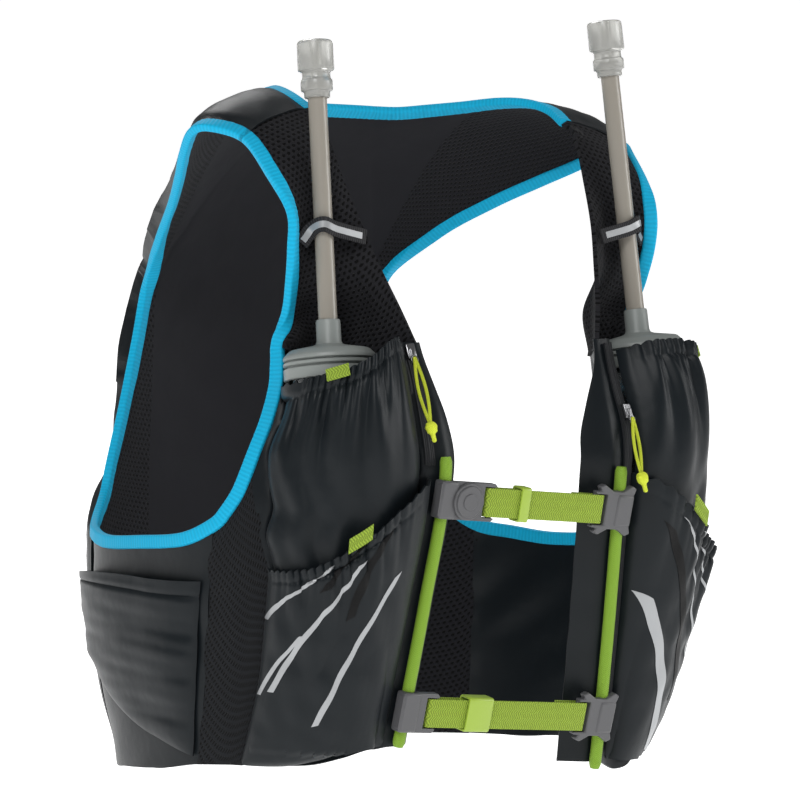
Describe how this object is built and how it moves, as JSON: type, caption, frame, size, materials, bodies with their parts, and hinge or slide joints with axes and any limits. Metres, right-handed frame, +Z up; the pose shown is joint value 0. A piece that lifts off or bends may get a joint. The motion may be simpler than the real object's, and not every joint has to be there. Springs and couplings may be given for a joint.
{
  "type": "running hydration vest",
  "caption": "Running vest with bound armholes, stretch front pockets holding soft flasks with long straws, side pockets, and two adjustable front straps on rails.",
  "frame": {"origin": "midway between the shoulder tops, where the vest sits on the shoulders", "axes": "+X to the wearer's left, -Y to the front, +Z up"},
  "size_m": [0.3264, 0.2889, 0.4071],
  "materials": {
    "outer_nylon": "woven nylon with a soft sheen",
    "pocket_nylon": "thin stretch nylon with a soft sheen",
    "lining": "matt nylon and open mesh",
    "spacer_mesh": "matt spacer mesh with oval holes",
    "side_mesh": "matt fine mesh",
    "binding": "folded elastic tape, matt",
    "webbing": "woven webbing, matt",
    "rail": "piped cord cover, satin",
    "reflective_elastic": "ribbed elastic with a reflective stripe",
    "pull_cord": "braided cord, matt",
    "zip_tape": "matt coated tape",
    "hardware": "moulded plastic, satin",
    "flask_cap": "moulded plastic, satin",
    "clear_silicone": "milky translucent silicone",
    "flask_film": "soft clear film",
    "metal": "dark plated metal"
  },
  "bodies": {
    "root": {"shoulder_strap_right": "spacer_mesh", "shoulder_strap_left": "spacer_mesh", "front_panel_right": "outer_nylon", "front_panel_left": "outer_nylon", "side_mesh_right": "side_mesh", "side_mesh_left": "side_mesh", "side_panel_right": "outer_nylon", "side_panel_left": "outer_nylon", "side_pocket_right": "outer_nylon", "side_pocket_left": "outer_nylon", "upper_pocket_right": "pocket_nylon", "upper_pocket_left": "pocket_nylon", "lower_pocket_right": "pocket_nylon", "lower_pocket_left": "pocket_nylon", "zip_right": "zip_tape", "zip_left": "zip_tape", "armhole_binding_right": "binding", "armhole_binding_left": "binding", "flask_cap_right": "flask_cap", "flask_cap_left": "flask_cap", "straw_right": "clear_silicone", "straw_left": "clear_silicone", "bite_valve_right": "clear_silicone", "bite_valve_left": "clear_silicone", "flask_right": "flask_film", "flask_left": "flask_film", "straw_loop_right": "reflective_elastic", "straw_loop_left": "reflective_elastic", "rail_right": "rail", "rail_left": "rail", "upper_tab_right": "webbing", "upper_tab_left": "webbing", "lower_tab_right": "webbing", "lower_tab_left": "webbing", "zip_slider_right": "metal", "zip_slider_left": "metal", "zip_pull_right": "pull_cord", "zip_pull_left": "pull_cord", "back_panel": "lining", "back_shell": "outer_nylon", "neck_binding": "binding", "upper_buckle": "hardware", "upper_slider": "hardware", "upper_webbing": "webbing", "upper_keeper": "webbing", "lower_hook": "hardware", "lower_slider": "hardware", "lower_webbing": "webbing", "lower_keeper": "webbing"}
  },
  "joints": []
}
